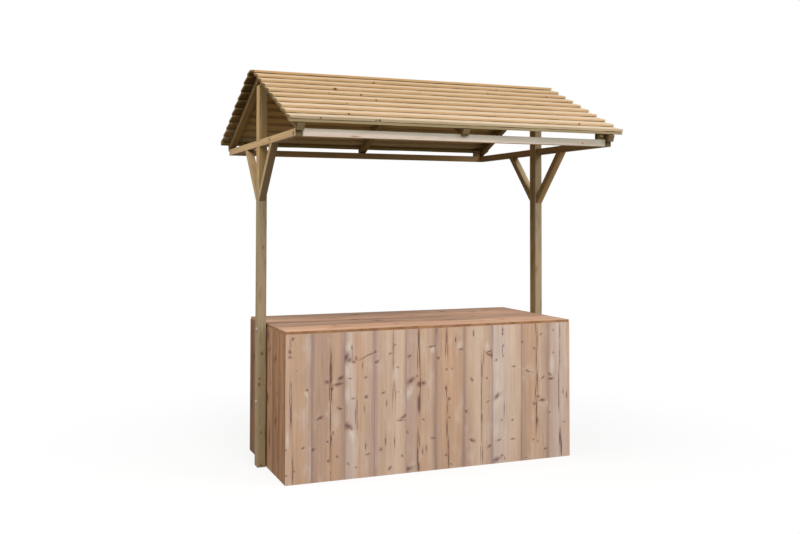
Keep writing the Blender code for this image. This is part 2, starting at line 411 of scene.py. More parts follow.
# Centre and half sizes of the knots that show; the last two are painted shadow under the coach bolts
POST_SPOTS = (
    ((-1.111, post_front, 0.794), (0.011, 0.010, 0.012)),
    ((-1.130, post_front, 0.580), (0.010, 0.008, 0.014)),
    ((-1.124, post_front, 0.618), (0.012, 0.008, 0.006)),
    ((-1.113, post_front, 0.244), (0.007, 0.008, 0.008)),
    ((-1.113, post_front, 0.016), (0.008, 0.008, 0.009)),
    ((-1.085, post_front, 1.705), (0.005, 0.006, 0.022)),
    ((-1.104, post_front, 1.537), (0.005, 0.006, 0.011)),
    ((-1.140, 0.002, 0.942), (0.006, 0.012, 0.010)),
    ((-1.140, 0.007, 0.434), (0.006, 0.010, 0.007)),
)
BEAM_SPOTS = (((-1.140, -0.956, 2.268), (0.006, 0.015, 0.015)),)
# Two knots, and a long line on the top edge that is painted shade of the roof
RAIL_SPOTS = (
    ((-0.752, -1.005, 2.256), (0.035, 0.004, 0.004)),
    ((0.906, -1.005, 2.267), (0.012, 0.006, 0.008)),
    ((0.580, -1.005, 2.297), (0.280, 0.006, 0.003)),
)
FRAME_KNOT = (78, 60, 40)
FRAME_END = (86, 78, 60)
post_finish = pine(
    "post_timber",
    ((200, 168, 120), (158, 127, 84), (140, 120, 84), (118, 102, 74), FRAME_END),
    POST_SPOTS,
    contrast=1.1,
    grey=(160, 145, 119),
)
frame_finish = pine(
    "treated_frame_timber",
    ((202, 172, 130), (160, 128, 90), (152, 132, 98), FRAME_KNOT, FRAME_END),
    BEAM_SPOTS,
)
# A darker copy of the frame timber, which is painted shade of the roof on the rafters
shaded_rafter_finish = pine(
    "shaded_rafter_timber",
    ((142, 116, 74), (114, 88, 52), (106, 86, 54), FRAME_KNOT, (114, 100, 76)),
)
rail_finish = pine(
    "planed_rail_timber",
    ((211, 195, 184), (195, 176, 164), (188, 172, 162), (156, 124, 94), (170, 160, 146)),
    RAIL_SPOTS,
    knotty=0.01,
    contrast=0.5,
    grey=(160, 158, 146),
)
for finish in (post_finish, frame_finish, shaded_rafter_finish, rail_finish):
    print(finish.name, "has", len(finish.node_tree.nodes), "nodes")

# %% [markdown]
# ## Posts and cross-beams
# The post's head is cut to the slope of the roof, and half of the cross-beam is let into its outer
# face. Both shapes are functions of the height and of the place round the section: the section
# moves in where the housing is, and the top ring follows the rafters. A Boolean would also do it,
# but rings keep clean edges for the bevel.

# %% Posts

SIDES = {"left": -1, "right": 1}
SLOPES = {"front": -1, "rear": 1}
GAP = 0.0003
PITCH = math.radians(23.2)
ALONG_X = ((1, 0, 0), (0, 1, 0), (0, 0, 1))
ALONG_Y = ((0, 1, 0), (1, 0, 0), (0, 0, 1))
ALONG_Z = ((0, 0, 1), (1, 0, 0), (0, 1, 0))
SEAT_DROP = 0.004
HEAD_NOTCH = 0.036

beam_low, beam_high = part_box("cross_beam_left")
beam_width = beam_high.x - beam_low.x
halving = beam_width / 2
post_face = post_high.y
post_outer = -post_low.x
post_inner = -post_high.x
under_ridge = beam_high.z - SEAT_DROP + beam_high.y * math.tan(PITCH)


def rafter_underside(distance):
    """Height of the rafters' lower edge at a distance from the ridge line."""
    return under_ridge - np.abs(distance) * math.tan(PITCH)


def post(side):
    """Six points round the section at each height, with the outer wall moved in at the housing.

    The wall also moves in at the very top, where the head is notched for the feet of the rafters.
    """
    outer = np.array([post_outer, post_outer, post_outer, post_inner, post_inner, post_inner])
    housed = np.minimum(outer, post_outer - halving - GAP)
    across = np.array([-1, 0, 1, 1, 0, -1]) * post_face
    under, over = beam_low.z - GAP, beam_high.z + GAP
    notch = under_ridge - HEAD_NOTCH
    stops = [0, 0.6, 1.2, 1.8, under, under, over, over, notch, notch, 3]
    inside = [False, False, False, False, False, True, True, False, False, True, True]
    # Below the beam all faces have gone grey; above it only those that the roof leaves open
    grey = np.array([0.6, 0.75, 1.0, 0.95, *[0] * 7])[:, None] * np.ones(6)
    if side == "left":
        grey[4:] = (0, 0, 0, 0.4, 0.8, 0.8)
        grime = np.array([0, 0, 0, 0.1, 0.42, 0.2])
    else:
        grey[:, 3:5] *= 0.5
        grey[4:] = (0.9, 0.6, 0.2, 0.1, 0.1, 0.7)
        grime = np.array([0, 0, 0, 0.1, 0.38, 0.05])
    # Painted shade on the inner faces, stronger higher up
    grime = grime * np.array([0.3, 0.5, 1.2, 1.2, *[1] * 7])[:, None]
    tone = np.full((len(stops), 6), 0.7)
    tone[4:, :3] = 0
    height = np.minimum(np.array(stops)[:, None], rafter_underside(across) - GAP)
    x = np.where(np.array(inside)[:, None], housed, outer) * SIDES[side]
    rings = np.stack([x, np.broadcast_to(across, x.shape), height], axis=-1)
    return timber(f"{side}_post", rings, post_finish, ALONG_Z, f"post_{side}", tone, grey=grey, grime=grime)


for side in SIDES:
    made = post(side)
    print(made.name, "has", len(made.data.polygons), "faces before its bevel")


# %% Cross-beams, rails and packers


def box_rings(low, high, axis, stops=()):
    """A rectangle carried along one axis, with rings at both ends and at the stops between."""
    first, second = [other for other in range(3) if other != axis]
    places = np.array([low[axis], *stops, high[axis]])
    rings = np.zeros((len(places), 4, 3))
    rings[:, :, axis] = places[:, None]
    rings[:, :, first] = np.array([low[first], high[first], high[first], low[first]])
    rings[:, :, second] = np.array([low[second], low[second], high[second], high[second]])
    return rings


def cross_beam(side):
    """The beam's inner wall moves out to its half where the post passes."""
    node = f"cross_beam_{side}"
    low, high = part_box(node)
    edge = post_face + GAP
    rings = box_rings(low, high, 1, (-edge, -edge, edge, edge))
    inner = high.x if side == "left" else low.x
    lapped = rings[2:4, :, 0]
    lapped[np.isclose(lapped, inner)] = inner + SIDES[side] * halving
    # On the right-hand beam the inner face is shaded by the roof, so it gets painted shade; on both beams
    # the faces that look down get painted shade too
    grime = 0.6 * np.isclose(rings[:, :, 0], low.x) * (side == "right")
    return timber(f"{side}_cross_beam", rings, frame_finish, ALONG_Y, node, 0.15, grime=grime, damp=0.9)


for side in SIDES:
    print(cross_beam(side).name)

for slope, finish, slot, tone, dirt_and_shade in (
    ("front", rail_finish, "planed_rail", 0.4, (0, 0.14)),
    ("rear", frame_finish, "frame_timber", 0.8, (0.5, 0.15)),
):
    node = f"eave_rail_{slope}"
    rings = box_rings(*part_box(node), 0, (-0.5, 0.0, 0.5))
    # Greyest along the upper edge, and everywhere greyer towards the right end
    grey = np.linspace(0.0, 0.55, len(rings))[:, None] + np.array([0.0, 0.0, 0.75, 0.75])
    # Soiling and painted shade: the rear rail, under the roof, is darkest at its left end; the front rail
    # darkens a little towards its right end
    grime = np.linspace(*dirt_and_shade, len(rings))[:, None]
    marks = {"grey": grey, "grime": grime}
    print(timber(f"{slope}_eave_rail", rings, finish, ALONG_X, node, tone, slot, **marks).name)

for side in SIDES:
    node = f"post_packer_{side}"
    rings = box_rings(*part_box(node), 2)
    print(timber(f"{side}_packer", rings, frame_finish, ALONG_Z, node, 0.9, ease=0.0006).name)

# %% [markdown]
# ## Braces and rafters
# These lie at an angle, so their outline is drawn in the plane of the gable and carried across
# their thickness. The wood coordinates are turned by the timber's own slope, so the grain runs up
# the rafter. The tails of the middle pair have a rounded lower corner.

# %% Braces

STOCK = 0.048


def slope_rings(slope, places, distance, height):
    """A section of (distance, height) points on one slope, repeated at places along X."""
    x = np.asarray(places)[:, None]
    return np.stack(np.broadcast_arrays(x, distance * SLOPES[slope], height), axis=-1)


def slope_axes(slope, lean):
    """The directions along and square to a timber that rises outwards on one slope."""
    cos, sin = math.cos(lean), math.sin(lean)
    return (0, cos * SLOPES[slope], sin), (0, -sin * SLOPES[slope], cos)


def leaning(name, finish, node, slope, outline, lean, cut_edges, tone, **marks):
    """An outline of (distance, height) points that is carried across a timber's thickness."""
    low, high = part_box(node)
    rings = slope_rings(slope, (low.x, high.x), *np.array(outline).T)
    along, upward = slope_axes(slope, lean)
    axes = (along, (1, 0, 0), upward)
    # At the right-hand end the faces that look inwards get painted shade; on the left every face is a
    # little darker
    marks["grime"] = np.array([0.5, 0.0] if low.x > 0.5 else [0.12, 0.12])[:, None]
    return timber(name, rings, finish, axes, node, tone, cut_edges=cut_edges, cut_caps=0, **marks)


for side in SIDES:
    for slope in SLOPES:
        node = f"brace_{side}_{slope}"
        low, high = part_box(node)
        foot, reach = sorted((abs(low.y), abs(high.y)))
        # The brace is cut plumb at its foot and level at its head
        bottom, head = low.z, high.z
        lean = math.atan2(head - bottom, reach - foot)
        outline = [
            (foot, bottom),
            (reach, head),
            (reach - STOCK / math.sin(lean), head),
            (foot, bottom + STOCK / math.cos(lean)),
        ]
        # Painted shade on the faces of the left braces that look down; the right braces get painted light
        # on their faces that look up and only a little painted shade below
        light_above = side == "right"
        marks = {"damp": 0.1 if light_above else 1, "light_above": light_above}
        leaning(f"{side}_{slope}_brace", frame_finish, node, slope, outline, lean, (1, 3), 0.3, **marks)
print("a brace leans", round(math.degrees(lean), 1), "degrees")

# %% Rafters

TAIL_REACH = 0.028
TAIL_RADIUS = 0.022
tail_end = beam_high.y + TAIL_REACH
rafter_top_ridge = under_ridge + STOCK / math.cos(PITCH)


def rafter_outline(round_tail):
    """Plumb cut at the ridge, a level seat over the beam and a square tail."""
    seat = beam_high.z + GAP
    heel = beam_high.y + GAP
    lower = (tail_end, float(rafter_underside(tail_end)))
    square = (math.sin(PITCH), math.cos(PITCH))
    down = (math.cos(PITCH), -math.sin(PITCH))
    tail = [lower]
    if round_tail:
        turn = np.linspace(math.pi, math.pi / 2, 5)
        centre = np.array(lower) + TAIL_RADIUS * np.array(square) - TAIL_RADIUS * np.array(down)
        arc = np.cos(turn)[:, None] * square + np.sin(turn)[:, None] * down
        tail = (centre + TAIL_RADIUS * arc).tolist()
    return [
        (GAP / 2, float(rafter_underside(GAP / 2))),
        ((under_ridge - seat) / math.tan(PITCH), seat),
        (heel, seat),
        (heel, float(rafter_underside(heel))),
        *tail,
        (lower[0] + STOCK * square[0], lower[1] + STOCK * square[1]),
        (GAP / 2, rafter_top_ridge - GAP / 2 * math.tan(PITCH)),
    ]


for place in ("left", "middle", "right"):
    for slope in SLOPES:
        node = f"rafter_{place}_{slope}"
        outline = rafter_outline(place == "middle")
        cuts = (*range(4, len(outline) - 2), len(outline) - 1)
        leaning(f"{place}_{slope}_rafter", shaded_rafter_finish, node, slope, outline, -PITCH, cuts, 0.6)
print("rafters rise to", round(rafter_top_ridge, 3), "m")

# %% [markdown]
# ## Roof boards
# The roof is lapped like clapboard: each board rests on the upper edge of the one below, so its
# thick lower edge, the butt, stands proud and throws a shadow line. On sawn boards that line is
# never even. The section is carried along the ridge through sixty-one places, and at each place the
# butt steps back a little and its underside lifts a little, which gives the shadow its broken look.

# %% Courses

BOARD_THICKNESS = 0.020
BOARD_COUNT = 10
TOP_COURSE = 0.098
BOARD_LAP = 0.022
EAVE_REACH = 0.018
eave_along = (tail_end + EAVE_REACH) / math.cos(PITCH)
exposure = (eave_along - TOP_COURSE) / (BOARD_COUNT - 1)
board_width = exposure + BOARD_LAP
board_tilt = math.asin((BOARD_THICKNESS + GAP) / exposure)


def off_slope(along, height):
    """(distance from the ridge line, height) of a point by its place along and above the rafters."""
    cos, sin = math.cos(PITCH), math.sin(PITCH)
    return along * cos + height * sin, rafter_top_ridge - along * sin + height * cos


def butt_centre(course):
    """The middle of a course's butt, as (distance, height)."""
    along = TOP_COURSE + (course - 1) * exposure
    return off_slope(along, GAP + board_width * math.sin(board_tilt) + BOARD_THICKNESS / 2)


# %% [markdown]
# The upper faces are a pinkish cream, partly weathered pale and partly painted light, while the butts
# stay tan and the undersides are browned by painted shade. So each point of the section carries how
# lit and weathered it is, how shaded and how much soiling and painted shade it has.

# %% The board finish
# Course, place along the ridge and half length of the knots that show on the butts
BUTT_KNOTS = (
    (4, -0.701, 0.014),
    (9, 0.912, 0.009),
    (2, -0.695, 0.004),
    (5, -0.777, 0.005),
    (2, -0.342, 0.010),
    (5, -0.549, 0.008),
    (6, -0.479, 0.007),
    (7, -0.719, 0.005),
    (9, -0.779, 0.009),
    (3, 0.525, 0.006),
    (2, 0.654, 0.005),
    (3, 1.029, 0.005),
    (4, 1.150, 0.004),
    (6, 1.029, 0.003),
    (6, 0.198, 0.003),
    (6, 0.025, 0.002),
    (7, 0.200, 0.003),
    (8, 0.310, 0.003),
    (9, 0.216, 0.003),
    (9, 0.660, 0.003),
    (10, -0.998, 0.008),
    (10, -0.635, 0.007),
    (10, -0.612, 0.010),
)
spots = []
for course, x, half in BUTT_KNOTS:
    distance, height = butt_centre(course)
    spots.append(((x, -distance, height), (half, 0.009, 0.75 * half)))
board_finish = pine(
    "roof_board_pine",
    ((190, 160, 120), (166, 133, 92), (166, 138, 98), (84, 60, 38), (144, 120, 82)),
    spots,
    knotty=0.3,
    sunned=((208, 188, 164), (194, 169, 138)),
)
weathered_finish = pine(
    "weathered_eave_pine",
    ((182, 163, 132), (150, 132, 102), (144, 130, 104), (86, 74, 52), (136, 118, 86)),
    spots[-3:],
    contrast=1.5,
    sunned=((210, 192, 168), (190, 170, 142)),
)
print("each course shows", round(exposure * 1000), "mm and tilts", round(math.degrees(board_tilt), 1))

# %% The boards

STATIONS = 61
LOW_ROUND = 0.002
TOP_ROUND = 0.004
BUTT_REACH = 0.010
# How far the butt, its underside and the upper face wander along the ridge
BUTT_WANDER = 0.0022
UNDER_WANDER = 0.0024
FACE_WANDER = 0.0008
PAST_RAFTERS = 1.03
# The front slope stops a little short at the left-hand end, and the rear slope at the right
SHORT_VERGE = 0.009
roof_half_length = cad_high.x


def rounded(centre, radius, start, end, steps):
    """Points on an arc: the centre plus the radius times cosine and sine."""
    turn = np.linspace(start, end, steps)
    return np.stack([centre[0] + radius * np.cos(turn), centre[1] + radius * np.sin(turn)], axis=-1)


def wandering(places, amount, slowest=0.9):
    """A smooth wandering line from 0 to the amount: sines of rising frequency, then squashed."""
    total = np.zeros_like(places)
    for part in range(1, 6):
        wave = 2 * math.pi * places * part / slowest + rng.uniform(0, 2 * math.pi)
        total += np.sin(wave) / part**0.7
    return amount * (0.5 + 0.5 * np.tanh(total))


def board_outline(width):
    """(up the board, through it) from the hidden upper edge to the rounded butt and back."""
    low = rounded((width - LOW_ROUND, LOW_ROUND), LOW_ROUND, -math.pi / 2, 0, 3)
    face = np.array([[width, BOARD_THICKNESS * 0.45]])
    top = rounded((width - TOP_ROUND, BOARD_THICKNESS - TOP_ROUND), TOP_ROUND, 0, math.pi / 2, 5)
    # Where the line of soiling and painted shade under the butt above ends
    dirt_and_shade_edge = BOARD_LAP + 0.003
    stops = (width - 0.012, width - 0.016, width * 0.5, dirt_and_shade_edge + 0.003, dirt_and_shade_edge, 0)
    back = np.array([[stop, BOARD_THICKNESS] for stop in stops])
    return np.concatenate([np.array([[0, 0], [width - BUTT_REACH, 0]]), low, face, top, back])


def roof_board(slope, course):
    """A board whose section varies along the ridge."""
    if course == 1:
        below = TOP_COURSE + exposure - board_width * math.cos(board_tilt)
        edge_along = below - BOARD_THICKNESS * math.sin(board_tilt)
        edge_height = GAP + BOARD_THICKNESS * math.cos(board_tilt) + GAP
        tilt = math.atan2(edge_height, edge_along)
        start = (-BOARD_THICKNESS * math.cos(tilt), GAP - BOARD_THICKNESS * math.sin(tilt))
        width = TOP_COURSE / math.cos(tilt) + BOARD_THICKNESS
    else:
        tilt = board_tilt
        width = board_width
        start = (TOP_COURSE + (course - 1) * exposure - width * math.cos(tilt), GAP)
    outline = board_outline(width)
    low, high = [edge * (roof_half_length - rng.uniform(0.0002, 0.003)) for edge in (-1, 1)]
    if slope == "rear":
        high -= SHORT_VERGE
    else:
        low += SHORT_VERGE
    places = np.linspace(low, high, STATIONS)
    near_butt = np.clip((outline[:, 0] - width) / BUTT_REACH + 1, 0, 1)
    bottom = (outline[:, 1] < BOARD_THICKNESS * 0.4) * near_butt
    along = outline[:, 0] - near_butt * (0.0004 + wandering(places, BUTT_WANDER)[:, None])
    through = outline[:, 1] + bottom * (0.0003 + wandering(places, UNDER_WANDER, 0.5)[:, None])
    top = outline[:, 1] > BOARD_THICKNESS * 0.6
    through = through - top * wandering(places, FACE_WANDER)[:, None]
    cos, sin = math.cos(tilt), math.sin(tilt)
    up_slope = start[0] + along * cos - through * sin
    distance, height = off_slope(up_slope, start[1] + along * sin + through * cos)
    ridge = GAP / 2
    short = np.clip(ridge - distance, 0, None)
    height = height - short * math.tan(PITCH - tilt) * (distance < ridge)
    rings = slope_rings(slope, places, np.maximum(distance, ridge), height)
    wood = weathered_finish if course == BOARD_COUNT else board_finish
    part = outline[:, 1] / BOARD_THICKNESS
    # Painted light: lower courses are lit on their butts too, and tops more on lower courses and towards
    # the right end. The undersides past the rafters get more painted shade.
    course_light = 0.04 * (course - 1)
    sun = np.clip(part / 0.2 - 4 + course_light, course_light, 0.35 if course == 1 else 0.55 + 0.05 * course)
    sun = sun * (0.92 + 0.16 * places / roof_half_length)[:, None]
    # Painted shade on the undersides, weaker on the lower courses, which get light from the ground
    shade = np.clip(1 - part / 0.08, 0, 1) * min(1, 1.5 - 0.1 * course)
    damp = np.clip((np.abs(places) - PAST_RAFTERS) / 0.06, 0, 1)[:, None]
    # A line of soiling and painted shade where each top runs under the butt above
    grime = (0.15 + 0.035 * course) * (part > 0.99) * (outline[:, 0] < BOARD_LAP + 0.004) + shade * damp
    if course == BOARD_COUNT:
        grime = grime + 0.28 * (part > 0.7) * (outline[:, 0] > width - 0.014)
    return timber(
        f"{slope}_board_{course:02d}",
        rings,
        wood,
        ((1, 0, 0), *slope_axes(slope, tilt - PITCH)),
        f"roof_board_{slope}_{course:02d}",
        rng.uniform(0, 0.7),
        "roof_boards",
        FINE_ARRIS,
        corner=58,
        sun=sun,
        shade=shade,
        grime=grime,
    )


for slope in SLOPES:
    for course in range(1, BOARD_COUNT + 1):
        made = roof_board(slope, course)
    print(slope, "slope is boarded, and its last board has", len(made.data.polygons), "faces")

# %% The wedges under the lowest boards

WEDGE_DEPTH = 0.060


def eave_wedge(slope):
    """A wedge that fills the space between the rafters and the lowest board's underside."""
    corner = TOP_COURSE + (BOARD_COUNT - 1) * exposure - board_width * math.cos(board_tilt)
    short = SHORT_VERGE if slope == "front" else 0
    places = np.linspace(short + 0.001 - roof_half_length, roof_half_length - 0.001, STATIONS)
    back = eave_along - WEDGE_DEPTH
    drop = GAP / math.cos(board_tilt)
    tops = [GAP + (edge - corner) * math.tan(board_tilt) - drop for edge in (back, eave_along)]
    # From the upper back corner round the underside, which is worn away in front of the rafters' tails
    along = np.array([back, eave_along - 0.017, eave_along, eave_along, back])
    along = along - np.array([0, 0, 1, 1, 0]) * (0.001 + wandering(places, BUTT_WANDER)[:, None])
    above = np.array([GAP, GAP, GAP + 0.005, tops[1], tops[0]])
    above = above + np.array([0, 0, 1, 0, 0]) * wandering(places, 0.001)[:, None]
    above = above - np.array([0, 0, 0, 1, 0]) * (0.001 + wandering(places, 0.002, 0.4)[:, None])
    distance, height = off_slope(along, above)
    return timber(
        f"{slope}_eave_wedge",
        slope_rings(slope, places, distance, height),
        weathered_finish,
        ALONG_X,
        f"eave_fillet_{slope}",
        0.4,
        "roof_boards",
        FINE_ARRIS,
        # Painted shade on the underside and back, as on the boards
        shade=np.array([1, 1, 0, 0, 1]),
    )


for slope in SLOPES:
    print(eave_wedge(slope).name)

# %% [markdown]
# At the right-hand end a short block stands on each rail and packs the corner between the rail and
# the lowest board. The pale fleck on its front is a painted highlight.

# %% Corner blocks

# The fourth card colours the one spot, a painted highlight on the block's front
block_finish = pine(
    "block_timber",
    ((148, 124, 90), (120, 98, 68), (112, 96, 68), (250, 232, 190), (120, 102, 70)),
    (((1.071, -0.990, 2.323), (0.018, 0.007, 0.008)),),
)
BLOCK_LENGTH = 0.054
BLOCK_NEAR = 0.958
BLOCK_FAR = 0.990
block_high = rafter_top_ridge - BLOCK_FAR * math.tan(PITCH) - 0.0006
for slope in SLOPES:
    low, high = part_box(f"eave_rail_{slope}")
    near, far = sorted((SLOPES[slope] * BLOCK_NEAR, SLOPES[slope] * BLOCK_FAR))
    rings = box_rings((high.x - BLOCK_LENGTH, near, high.z + GAP), (high.x, far, block_high), 0)
    print(timber(f"{slope}_corner_block", rings, block_finish, ALONG_X, ease=FINE_ARRIS).name)

# %% [markdown]
# ## Decor board
# The counter is boxed in board with the look of old scaffold planks standing side by side: tan and
# grey-pink tones, soft dark joints, cracks that run with the grain, and knots with a pale patch
# round them. Ten planks make up the sheet, and each one is a finish of its own with its knots
# listed in millimetres from its lower left corner. The rear panel uses the same planks in another
# order, as the real sheet repeats.

# %% Planks of the sheet

TONES = {
    "tan": paint(195, 167, 147),
    "pink": paint(184, 158, 144),
    "milk": paint(198, 179, 169),
    "brown": paint(176, 148, 131),
    "orange": paint(191, 158, 134),
    "pale": paint(203, 178, 160),
    "dark": paint(158, 128, 110),
}

# Width, tones from the left joint to the right one, knots, cracks
# A knot or crack is (across, up, half width, half height), and degrees where it is turned
SHEET = (
    (
        178, ("tan", "orange", "pink"),
        ((7, 62, 11, 5), (60, 89, 7, 5), (6, 230, 7, 5), (120, 233, 12, 7, 20), (146, 611, 11, 7),
         (74, 742, 6, 5), (30, 832, 13, 5), (29, 868, 9, 14), (49, 952, 9, 10)),
        ((51, 86, 5, 91), (48, 151, 4, 39), (38, 450, 6, 95), (29, 560, 2, 75), (42, 565, 2, 80),
         (37, 648, 3, 30), (32, 920, 3, 26)),
    ),
    (
        227, ("brown", "brown", "orange", "brown"),
        ((114, 135, 9, 6, 50), (176, 159, 10, 6, -30), (10, 217, 14, 9, 30), (107, 261, 8, 8, 30),
         (148, 317, 5, 11), (58, 423, 25, 8, 25), (196, 475, 18, 6, -20), (140, 608, 8, 11),
         (182, 637, 35, 10, 8), (105, 657, 14, 13), (202, 677, 25, 11, 30)),
        ((132, 8, 3, 26), (132, 54, 3, 16), (129, 193, 4, 79), (133, 278, 6, 40), (130, 417, 4, 145),
         (137, 575, 4, 60), (124, 589, 4, 66), (132, 675, 10, 40), (131, 734, 10, 106),
         (133, 814, 5, 53)),
    ),
    (
        215, ("pink", "milk", "orange", "tan", "pink"),
        ((83, 73, 6, 5), (30, 102, 11, 6, -30), (168, 155, 18, 5, 10), (46, 340, 16, 11, -30),
         (28, 352, 30, 19, -25), (60, 535, 11, 6), (153, 539, 11, 11), (39, 670, 14, 5, -10),
         (149, 670, 12, 5, 10), (63, 779, 10, 8), (35, 794, 18, 15, 30), (81, 801, 7, 12),
         (14, 815, 18, 34, -15), (166, 817, 57, 5, 22), (52, 876, 6, 13)),
        ((151, 210, 4, 20), (91, 363, 3, 40), (79, 417, 3, 60), (142, 459, 4, 17), (89, 470, 3, 80),
         (128, 748, 4, 20), (55, 833, 3, 27)),
    ),
    (
        230, ("pink", "tan", "pale", "tan"),
        ((112, 46, 15, 8, 40), (204, 122, 10, 7, -30), (47, 177, 11, 7, 20), (192, 361, 25, 5),
         (214, 387, 27, 9, 30), (174, 556, 7, 4), (64, 560, 14, 6, 20), (170, 727, 10, 5, -20),
         (13, 770, 16, 9, 30), (114, 822, 9, 6, 30), (2, 838, 13, 7, 20), (149, 878, 6, 8)),
        ((146, 219, 4, 37), (80, 232, 4, 27), (87, 484, 4, 14), (133, 539, 4, 54), (152, 544, 3, 41),
         (141, 599, 4, 41), (136, 749, 7, 61), (135, 879, 5, 123)),
    ),
    (
        222, ("pink", "pink", "orange", "tan", "brown"),
        ((22, 29, 27, 14, 10), (209, 221, 17, 6, -10), (11, 276, 7, 7), (130, 355, 7, 5),
         (96, 601, 15, 16), (129, 606, 17, 13), (36, 629, 31, 14, 32), (84, 657, 6, 8),
         (25, 797, 13, 8, 30), (193, 854, 26, 7, 5)),
        ((93, 33, 9, 34), (86, 102, 6, 82), (123, 136, 4, 21), (153, 161, 4, 21), (99, 210, 3, 41),
         (89, 238, 4, 55), (97, 464, 13, 69), (102, 498, 7, 69), (106, 628, 5, 110), (85, 760, 3, 76),
         (100, 780, 4, 96), (94, 911, 7, 89)),
    ),
    (
        218, ("brown", "orange", "orange", "brown"),
        ((117, 30, 6, 8), (82, 95, 9, 7), (105, 352, 7, 6), (101, 482, 8, 13, -20), (78, 560, 8, 14),
         (86, 688, 8, 6, -30), (124, 694, 6, 4), (21, 772, 10, 7, -30), (194, 824, 12, 7)),
        ((99, 66, 5, 62), (96, 157, 6, 55), (86, 282, 5, 69), (88, 414, 4, 49), (82, 525, 3, 35),
         (91, 817, 3, 42), (75, 825, 3, 42), (152, 891, 5, 21), (83, 922, 6, 70), (5, 967, 4, 21)),
    ),
    (
        225, ("brown", "tan", "pale", "tan", "pink"),
        ((199, 128, 16, 7, 30), (65, 179, 24, 10, -20), (15, 386, 9, 11), (188, 443, 11, 6, 30),
         (62, 607, 8, 15, 35), (180, 610, 8, 6, 20), (218, 771, 8, 17), (196, 776, 29, 7, -30),
         (200, 797, 21, 6, 20)),
        ((144, 70, 4, 63), (129, 85, 3, 56), (137, 225, 4, 70), (138, 324, 6, 49), (137, 422, 4, 56),
         (136, 528, 4, 71), (140, 662, 6, 71), (152, 753, 3, 42), (74, 926, 5, 23)),
    ),
    (
        230, ("milk", "milk", "pale", "tan"),
        ((30, 28, 32, 14, 20), (94, 32, 6, 9), (74, 52, 10, 9, 30), (50, 164, 18, 6, 20),
         (159, 165, 15, 6), (159, 297, 10, 7), (74, 304, 10, 6, 20), (35, 477, 27, 14, 40),
         (172, 679, 18, 4), (31, 733, 10, 6, 20), (87, 759, 6, 6), (87, 834, 6, 6), (79, 916, 7, 7),
         (79, 945, 7, 9)),
        ((92, 381, 3, 57), (79, 802, 3, 36), (80, 945, 3, 43)),
    ),
    (
        225, ("brown", "orange", "tan", "brown"),
        ((35, 20, 14, 4), (200, 70, 12, 5, 20), (138, 129, 8, 5), (101, 143, 7, 5, -30),
         (110, 402, 12, 9), (172, 423, 27, 10), (139, 451, 10, 9), (181, 589, 16, 6, 40),
         (57, 640, 25, 6, -20), (107, 803, 9, 7, -30), (8, 852, 12, 6), (165, 902, 10, 6, 30)),
        ((127, 231, 4, 43), (129, 274, 9, 50), (127, 361, 5, 72), (118, 485, 4, 51), (133, 563, 7, 80),
         (125, 745, 4, 116), (132, 875, 7, 65), (120, 955, 4, 44)),
    ),
    (
        180, ("pink", "milk", "tan"),
        ((132, 253, 9, 4), (10, 332, 8, 7), (19, 574, 22, 7), (10, 608, 18, 7, -30), (45, 762, 7, 6),
         (45, 927, 7, 8)),
        ((108, 69, 7, 66), (98, 150, 9, 66), (88, 399, 4, 66), (154, 449, 4, 16), (124, 469, 4, 18),
         (87, 515, 4, 117), (97, 734, 3, 102), (98, 917, 3, 66)),
    ),
)
# Milky patches on some planks, written as the knots are
MILKY = {
    0: ((140, 588, 12, 34, 10), (16, 290, 13, 60)),
    2: ((31, 870, 30, 50, -20), (21, 715, 24, 60), (18, 560, 22, 60), (54, 312, 26, 60)),
    3: ((148, 690, 22, 60),),
    4: ((25, 550, 24, 50, -25), (201, 836, 18, 30)),
    5: ((178, 854, 24, 34, -20),),
    6: ((180, 834, 20, 34),),
    7: ((35, 435, 30, 70, -20), (35, 560, 24, 60), (43, 700, 30, 70), (34, 236, 28, 60)),
    8: ((214, 406, 12, 34),),
    9: ((32, 672, 26, 80),),
}
print("the sheet has", len(SHEET), "planks and", sum(len(plank[2]) for plank in SHEET), "knots")

# %% The decor finish
# Tints that multiply the plank's colour
FLAME = (0.70, 0.61, 0.58)
JOINT_LINE = (0.55, 0.48, 0.50)
KNOT_RIM = (0.70, 0.62, 0.62)
KNOT_CORE = (0.44, 0.38, 0.43)
CRACK_SIDE = (0.72, 0.62, 0.60)
CRACK_CORE = (0.30, 0.26, 0.30)


def tinted(colour, tint):
    """A colour with each of its channels scaled."""
    return (*[channel * share for channel, share in zip(colour, tint)], 1.0)


def in_metres(marks):
    """Turns (across, up, half width, half height) in millimetres into ellipses for a finish."""
    table = []
    for across, up, width, height, *turn in marks:
        table.append(((across / 1000, up / 1000, 0), (width / 1000, height / 1000, 1), *turn))
    return table


